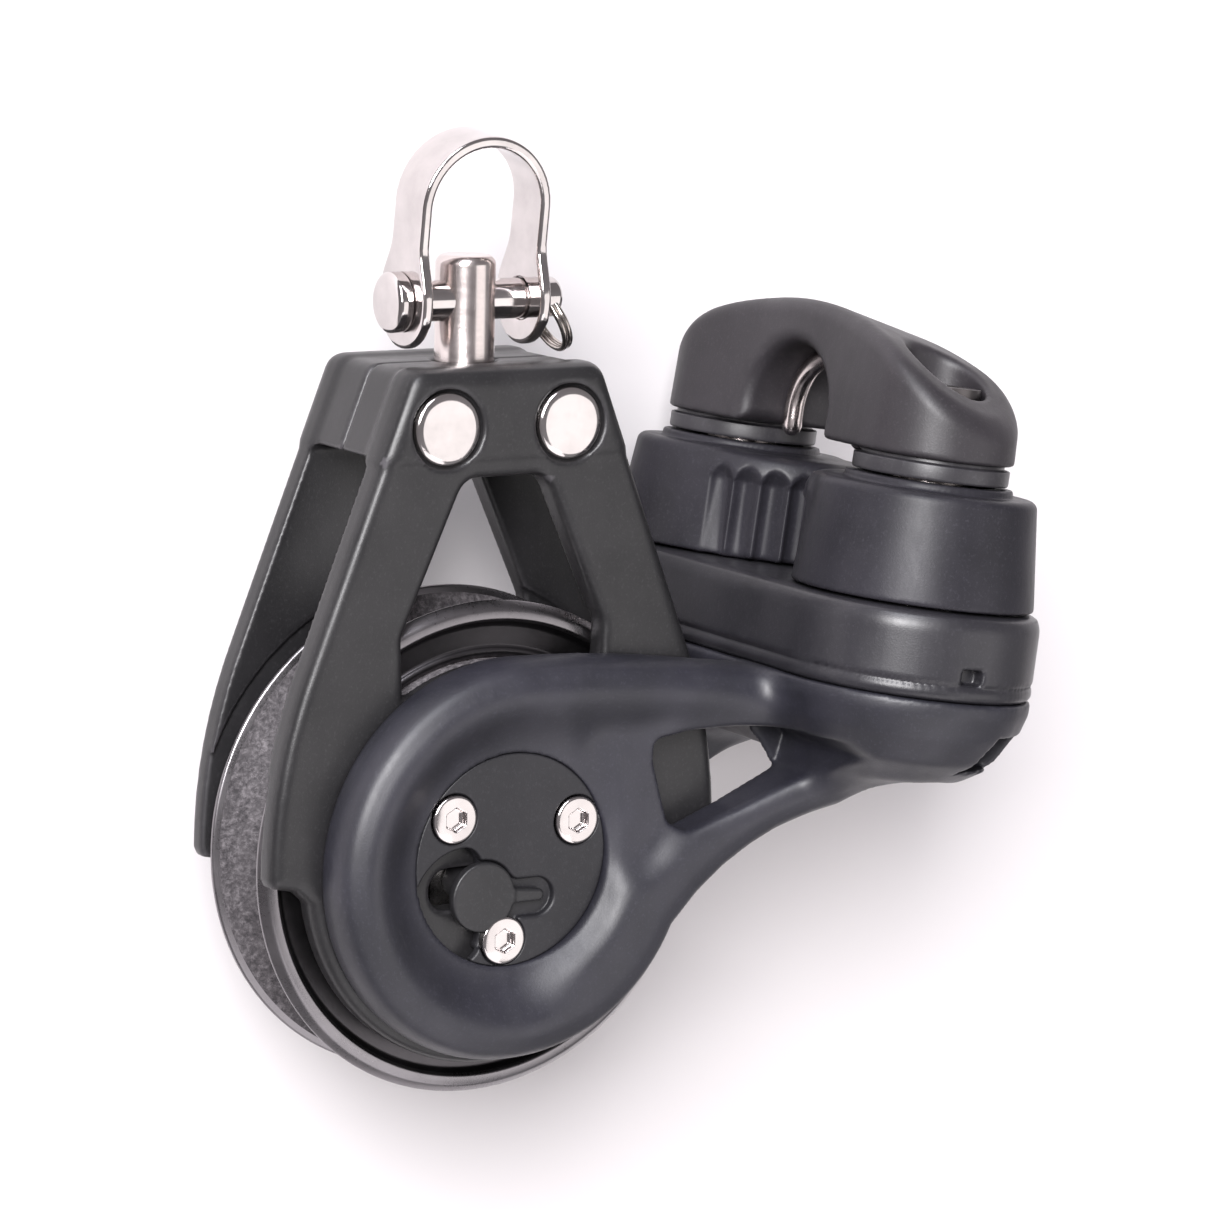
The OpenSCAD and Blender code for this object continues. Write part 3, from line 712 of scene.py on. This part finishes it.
def arch(x, y, h):
    """The fairlead arch, with its eye and the recesses for the long screws."""
    yy = np.abs(y)
    plan = from_row(x, y) - 8.3 - 1.15 * step(yy, 6, 19) + 0.03 * (h - ARCH_FOOT)
    rise = 31.1 - 0.0098 * yy ** 2 - 0.20 * x - 1.5 * step(yy, 17, 29)
    f = cut_round(plan, (h - rise) * 0.9, 2.0)
    f = cut_round(f, ARCH_FOOT - h, 0.45)
    eye = np.hypot(y, np.maximum(h - EYE_H, 0)) - EYE_R
    f = carve(f, eye, 1.8 - 1.3 * step(x, -5, 4))
    for s in (-1, 1):
        from_screw = np.hypot(x, y - s * CAM_Y)
        f = carve(f, np.maximum(from_screw - 4.9, 22.0 - h), 0.8)
        f = np.maximum(f, 2.6 - from_screw)
    return f


mesh = shape(arch, (-10.2, -29.8, 16.4), (10.2, 29.8, 33.0), CELL * 0.85)
piece("fairlead_bridge", mesh, "block", "fairlead_arch", ARCH, at=CLEAT)

bend = [(WIRE_X, -WIRE_BEND * math.cos(a), EYE_H + WIRE_BEND * math.sin(a))
        for a in np.linspace(0, math.pi, 41)]
start = [(WIRE_X, -WIRE_BEND, 16.7), (WIRE_X, -WIRE_BEND, 17.8)]
end = [(WIRE_X, WIRE_BEND, 17.8), (WIRE_X, WIRE_BEND, 16.7)]
piece("eye_wire", tube(start + bend + end, 1.2, 20), "block", "fairlead_wire", STEEL,
      at=CLEAT)


# ---- hub ------------------------------------------------------------------

KNOB_AT = (-3.6, -3.9)   # centre of the knob's disc, a little off its stem
TAIL_END = (3.6, -4.4)   # tip of the knob's tail


def hub_plate(x, y, z, switch=True):
    """The near hub plate; without the switch's recess it serves for the far side."""
    r = np.hypot(x, z)
    f = cut_round(r - HUB_R, np.abs(y + 11.9) - 0.6, 0.06)
    f = np.minimum(f, np.maximum(r - 10.8, np.abs(y + 11.0) - 0.68))
    for sx, sz in HUB_SCREWS:
        from_screw = np.hypot(x - sx, z - sz)
        f = carve(f, np.maximum(from_screw - 2.9, y + 11.75), 0.12)
        f = np.maximum(f, 1.5 - from_screw)
    if switch:
        fit = bar(x, z, KNOB_AT, (KNOB_AT[0] - KNOB_TRAVEL, KNOB_AT[1]), 4.15, 4.15)
        thumb = cut_round(np.hypot(x + 5.9, z + 4.6) - 6.4, x + 3.7, 2.2)
        tail = bar(x, z, (-4, -4.4), (3.4, -4.6), 2.2, 2.2)
        well = smooth_union(np.minimum(fit, thumb), tail, 0.8)
        f = carve(f, np.maximum(well, y + 11.65), 0.4)
        f = carve(f, np.maximum(thumb, y + 10.5), 0.4)
        f = np.maximum(f, -stem_slot(x, z))
    return f


def plain_hub_plate(x, y, z):
    return hub_plate(x, y, z, switch=False)


box = (-12.4, -12.6, -12.4), (12.4, -10.2, 12.4)
near = shape(hub_plate, *box, PLATE_CELL)
far = mirror_y(shape(plain_hub_plate, *box, PLATE_CELL))
piece("hub_plate_near", near, "block", "near_hub_plate", HUB)
piece("hub_plate_far", far, "block", "far_hub_plate", HUB)


def socket_screw(x, y, z):
    """A button-head screw on the Y axis, its head towards -Y."""
    r = np.hypot(x, z)
    f = cut_round(cut_round(r - 2.75, y + 11.75, 0.1), -13.05 - y + 0.035 * r * r, 0.22)
    flats = np.maximum(np.abs(x), np.abs(x * 0.5 + z * 0.866))
    socket = np.maximum(flats, np.abs(x * 0.5 - z * 0.866)) - 1.2
    f = carve(f, np.maximum(socket, y + 12.1), 0.12)
    shank = np.maximum(r - 1.4, np.maximum(-11.9 - y, y + 8.0))
    return np.minimum(f, shank)


screw = shape(socket_screw, (-2.9, -13.3, -2.9), (2.9, -8, 2.9), SCREW_CELL)
near = join([moved(screw, (sx, 0, sz)) for sx, sz in HUB_SCREWS])
piece("hub_screws_near", near, "block", "near_hub_screws", POLISHED)
piece("hub_screws_far", mirror_y(near), "block", "far_hub_screws", POLISHED)


def knob(x, y, z):
    """The ratchet switch: a disc with a tail on a stem."""
    r = np.hypot(x - KNOB_AT[0], z - KNOB_AT[1])
    f = cut_round(r - 4.0, np.abs(y + 12.2) - 0.6, 0.25)
    tail = bar(x, z, KNOB_AT, TAIL_END, 1.1, 0.7)
    f = smooth_union(f, cut_round(tail, np.abs(y + 12.2) - 0.5, 0.3), 0.35)
    stem = np.hypot(x - KNOB[0], z - KNOB[1]) - 2.15
    return np.minimum(f, np.maximum(stem, np.abs(y + 9.2) - 2.8))


mesh = shape(knob, (-8.4, -13.4, -8.0), (5.2, -6.2, 0.2), PLATE_CELL)
piece("ratchet_knob", mesh, "switch", "ratchet_switch", SWITCH)


# ---- sheave ---------------------------------------------------------------

DRUM_R, DRUM_Y, DRUM_BORE = 21.88, 6.7, 16.2
GROOVE_R, GROOVE_Y = 20.5, 2.45
WALL_IN, WALL_OUT = (21.9, 2.5), (27.6, 5.15)   # radius and y of the groove's wall


def rough_lathe(profile, amount, keep):
    """A lathe about Y whose surface is roughened where keep(radius, y) is 1."""
    v, f = lathe(profile, SHEAVE_SEGS, "Y")
    r = np.hypot(v[:, 0], v[:, 2])
    angle = np.arctan2(v[:, 2], v[:, 0])
    waves = ((211.0, 9.1, 0.0), (157.0, -7.3, 1.7), (89.0, 15.7, 0.6))   # round, along, offset
    k = sum(np.sin(angle * a + v[:, 1] * b + c) for a, b, c in waves)
    d = amount * k / 3 * keep(r, v[:, 1])
    v[:, 0] -= d * v[:, 0] / np.maximum(r, 1)
    v[:, 2] -= d * v[:, 2] / np.maximum(r, 1)
    return v, f


def on_groove(r, y):
    return (np.abs(y) < 2.5) * (r > 20)


def on_wall(r, y):
    return (y > -4.9) * 1.0


groove = [(GROOVE_R + 0.055 * t * t, t) for t in np.linspace(-GROOVE_Y, GROOVE_Y, 15)]
drum = [(DRUM_BORE, -DRUM_Y), (21.85, -DRUM_Y), (DRUM_R, -2.55)] + groove
drum += [(DRUM_R, 2.55), (21.85, DRUM_Y), (DRUM_BORE, DRUM_Y), (DRUM_BORE, -DRUM_Y)]
piece("sheave_barrel", rough_lathe(drum, 0.10, on_groove), "sheave", "sheave_drum", GRIP)

wall = []
for t in np.linspace(0, 1, 20):
    r = WALL_IN[0] + (WALL_OUT[0] - WALL_IN[0]) * t
    wall.append((r, -(WALL_IN[1] + (WALL_OUT[1] - WALL_IN[1]) * t) - 0.25 * math.sin(t * math.pi)))
rim = soft_profile([(27.6, -5.15), (28.35, -5.35), (28.5, -5.75), (27.5, -6.75), (26.45, -6.9),
                    (26.2, -6.6), (25.7, -5.75), (23.2, -5.65), (22.9, -6.1), (22.3, -6.15),
                    (21.9, -5.6)], 0.3)
flange = rough_lathe(wall + rim[1:] + [wall[0]], 0.09, on_wall)
for name, mesh in (("near", flange), ("far", mirror_y(flange))):
    obj = piece("sheave_flange_" + name, mesh, "sheave", name + "_flange", [GRIP, RIM, DARKRIM])
    for poly in obj.data.polygons:
        c = poly.center * 1000
        r, y = math.hypot(c.x, c.z), abs(c.y)
        poly.material_index = 0 if (r < 27.7 and y < 5.3) else (1 if r > 26.0 else 2)


# ---- post, rivets and shackle ---------------------------------------------

stem = lathe(soft_profile([(0.01, 47.6), (4.9, 47.6), (4.9, 50.4), (3.4, 50.4), (3.4, 66.1),
                           (2.85, 66.8), (0.01, 66.85)], 0.35, 5), 72)
piece("swivel_stem", stem, "post", "swivel_post", STEEL)

half = lathe([(0.01, -10.70), (1.6, -10.695), (3.1, -10.68), (3.75, -10.60), (4.05, -10.35),
              (4.1, -10.0), (4.1, -9.75), (2.25, -9.7), (2.25, 0)], 64, "Y")
parts = [moved(m, (s * RIVET_X, 0, RIVET_Z)) for s in (-1, 1) for m in (half, mirror_y(half))]
piece("rivets", join(parts), "block", "head_rivets", POLISHED)


def bow(x, y, z):
    """The strap in the pin's frame, bent into a U, with a lobe round the pin at each end."""
    outer = np.where(z > 10.9, np.hypot(x, z - 10.9), np.abs(x)) - 8.2
    band = np.maximum(outer, -outer - 1.3)
    from_pin = np.hypot(y, z)
    width = smooth_union(from_pin - 5.2, np.maximum(np.abs(y) - 3.3, -z), 2.5)
    f = cut_round(band, width, 0.35)
    return carve(f, from_pin - 2.4, 0.15)


mesh = shape(bow, (-8.4, -5.4, -5.4), (8.4, 5.4, 19.3), BOW_CELL)
piece("shackle_strap", mesh, "shackle", "shackle_bow", POLISHED, at=PIN)

pin = lathe(soft_profile([(0.01, -10.2), (2.9, -10.2), (3.4, -9.8), (3.4, -8.25), (2.3, -8.25),
                          (2.3, 11.2), (1.9, 11.65), (0.01, 11.7)], 0.25, 5), 48, "X")
piece("pin", pin, "shackle", "clevis_pin", POLISHED, at=PIN)

RING_X, RING_R, RING_TURNS, RING_PITCH = 9.8, 3.3, 1.9, 0.62
swing = math.radians(28)
ring = []
for t in np.linspace(0, 2 * math.pi * RING_TURNS, 120):
    off = (t / (2 * math.pi) - RING_TURNS / 2) * RING_PITCH
    a = t + 0.9
    ly, lz = RING_R * math.sin(a), -RING_R + RING_R * math.cos(a)
    ring.append((RING_X + off * math.cos(swing) - lz * math.sin(swing), ly,
                 off * math.sin(swing) + lz * math.cos(swing)))
piece("ring_wire", tube(ring, 0.36, 12), "ring", "split_ring", WIRE, at=PIN)

COIL_R, COIL_H, COIL_TURNS, COIL_PITCH = 5.7, 5.4, 3.4, 1.06
for s, name in ((-1, "near"), (1, "far")):
    coil = [(COIL_R * math.cos(t), s * CAM_Y + COIL_R * math.sin(t),
             COIL_H + t / (2 * math.pi) * COIL_PITCH)
            for t in np.linspace(0, 2 * math.pi * COIL_TURNS, 140)]
    piece("coil_" + name, tube(coil, 0.45, 10), "block", name + "_cam_spring", WIRE,
          at=CLEAT)


# ---- pieces kept from the CAD ---------------------------------------------

KEPT = {"post_washer": WHITE, "hub_core": HUB, "ratchet_ring": DARKSTEEL, "near_ball_row": WHITE,
        "far_ball_row": WHITE, "shift_plate": DARKSTEEL, "upper_pawl": DARKSTEEL,
        "lower_pawl": DARKSTEEL, "pawl_pins": DARKSTEEL, "near_cam_balls": WHITE,
        "far_cam_balls": WHITE, "near_cam_post": STEEL, "far_cam_post": STEEL,
        "cleat_screws": SUNK, "cleat_nuts": STEEL}
for name, m in KEPT.items():
    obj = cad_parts[name]
    for held in obj.material_slots:
        held.material = m
    if not obj.material_slots:
        obj.data.materials.append(m)


# ---- floor, light and camera ----------------------------------------------

FLOOR_Y, FLOOR_HALF = 0.0352, 3.0      # metres


def floor_material():
    """Pale matt floor that is clear from behind, so that views from there see the part."""
    m, n, l, p = nodes_of("floor")
    out = [k for k in n if k.type == "OUTPUT_MATERIAL"][0]
    c = ramp(n, l, noise(n, l, 3, 2), [(0.3, (0.67, 0.648, 0.654)), (0.7, (0.69, 0.667, 0.673))])
    l.new(c, p.inputs["Base Color"])
    p.inputs["Roughness"].default_value = 0.9
    p.inputs["Emission Color"].default_value = (1.0, 0.97, 0.98, 1)
    p.inputs["Emission Strength"].default_value = 0.02
    clear = n.new("ShaderNodeBsdfTransparent")
    g = n.new("ShaderNodeNewGeometry")
    mx = n.new("ShaderNodeMixShader")
    l.new(g.outputs["Backfacing"], mx.inputs[0])
    l.new(p.outputs[0], mx.inputs[1])
    l.new(clear.outputs[0], mx.inputs[2])
    l.new(mx.outputs[0], out.inputs["Surface"])
    return m


sheet = bpy.data.meshes.new("floor")
sheet.from_pydata([(x * FLOOR_HALF, FLOOR_Y, z * FLOOR_HALF)
                   for x, z in ((-1, -1), (1, -1), (1, 1), (-1, 1))], [], [(0, 1, 2, 3)])
floor = bpy.data.objects.new("floor", sheet)
floor.data.materials.append(floor_material())
bpy.context.scene.collection.objects.link(floor)

world = bpy.data.worlds.new("studio")
bpy.context.scene.world = world
world.use_nodes = True
wn, wl = world.node_tree.nodes, world.node_tree.links
sky = wn.new("ShaderNodeTexCoord")
turn = wn.new("ShaderNodeMapping")
turn.inputs["Rotation"].default_value = (0, math.radians(-60), math.radians(20))
fade = wn.new("ShaderNodeTexGradient")
wl.new(sky.outputs["Generated"], turn.inputs["Vector"])
wl.new(turn.outputs["Vector"], fade.inputs["Vector"])
wall_colour = ramp(wn, wl, fade.outputs["Fac"], [(0.0, (0.62, 0.58, 0.61)), (0.55, (0.78, 0.75, 0.78)),
                                                 (1.0, (0.86, 0.84, 0.87))])
wl.new(wall_colour, wn["Background"].inputs["Color"])
wn["Background"].inputs["Strength"].default_value = 0.38


def area(name, at, to, size, power, colour):
    """A square soft light at one point that faces another, in metres."""
    d = bpy.data.lights.new(name, "AREA")
    d.shape = "RECTANGLE"
    d.size = d.size_y = size
    d.energy = power
    d.color = colour
    o = bpy.data.objects.new(name, d)
    o.location = at
    o.rotation_euler = (Vector(to) - Vector(at)).to_track_quat("-Z", "Y").to_euler()
    bpy.context.scene.collection.objects.link(o)


area("key", (-0.50, -0.70, 0.38), (0.02, 0, 0.02), 0.40, 15.5, (1.0, 0.985, 1.0))
area("fill", (0.40, -0.62, -0.14), (0.03, 0, 0.02), 0.56, 1.3, (1.0, 0.965, 0.96))
area("top", (-0.22, -0.42, 0.62), (0.02, 0, 0.02), 0.30, 3.2, (0.93, 0.94, 1.0))
area("low", (0.02, -0.40, -0.46), (0.02, 0, 0), 0.50, 1.2, (1.0, 0.96, 0.98))

AZ, EL, ROLL_ANGLE = math.radians(-31.97), math.radians(10.02), math.radians(1.28)
DIST = 447.56                     # from the part, in millimetres
AIM_RIGHT, AIM_UP = 17.25, 26.34  # what the camera looks at, in its own axes
FOCAL, PHOTO, SENSOR = 3902.11, 1214, 36   # pixels, pixels and millimetres
back = Vector((math.sin(AZ) * math.cos(EL), -math.cos(AZ) * math.cos(EL), math.sin(EL)))
right = Vector((math.cos(AZ), math.sin(AZ), 0))
up = back.cross(right)
cam_x = right * math.cos(ROLL_ANGLE) + up * math.sin(ROLL_ANGLE)
cam_y = -right * math.sin(ROLL_ANGLE) + up * math.cos(ROLL_ANGLE)
eye = (cam_x * AIM_RIGHT + cam_y * AIM_UP + back * DIST) * 0.001
cam_data = bpy.data.cameras.new("camera")
cam_data.sensor_width = SENSOR
cam_data.lens = FOCAL / PHOTO * SENSOR
cam_data.clip_start, cam_data.clip_end = 0.01, 20
camera = bpy.data.objects.new("camera", cam_data)
camera.matrix_world = Matrix((*[(cam_x[i], cam_y[i], back[i], eye[i]) for i in range(3)], (0, 0, 0, 1)))
bpy.context.scene.collection.objects.link(camera)
bpy.context.scene.camera = camera
bpy.context.scene.view_settings.view_transform = "Standard"
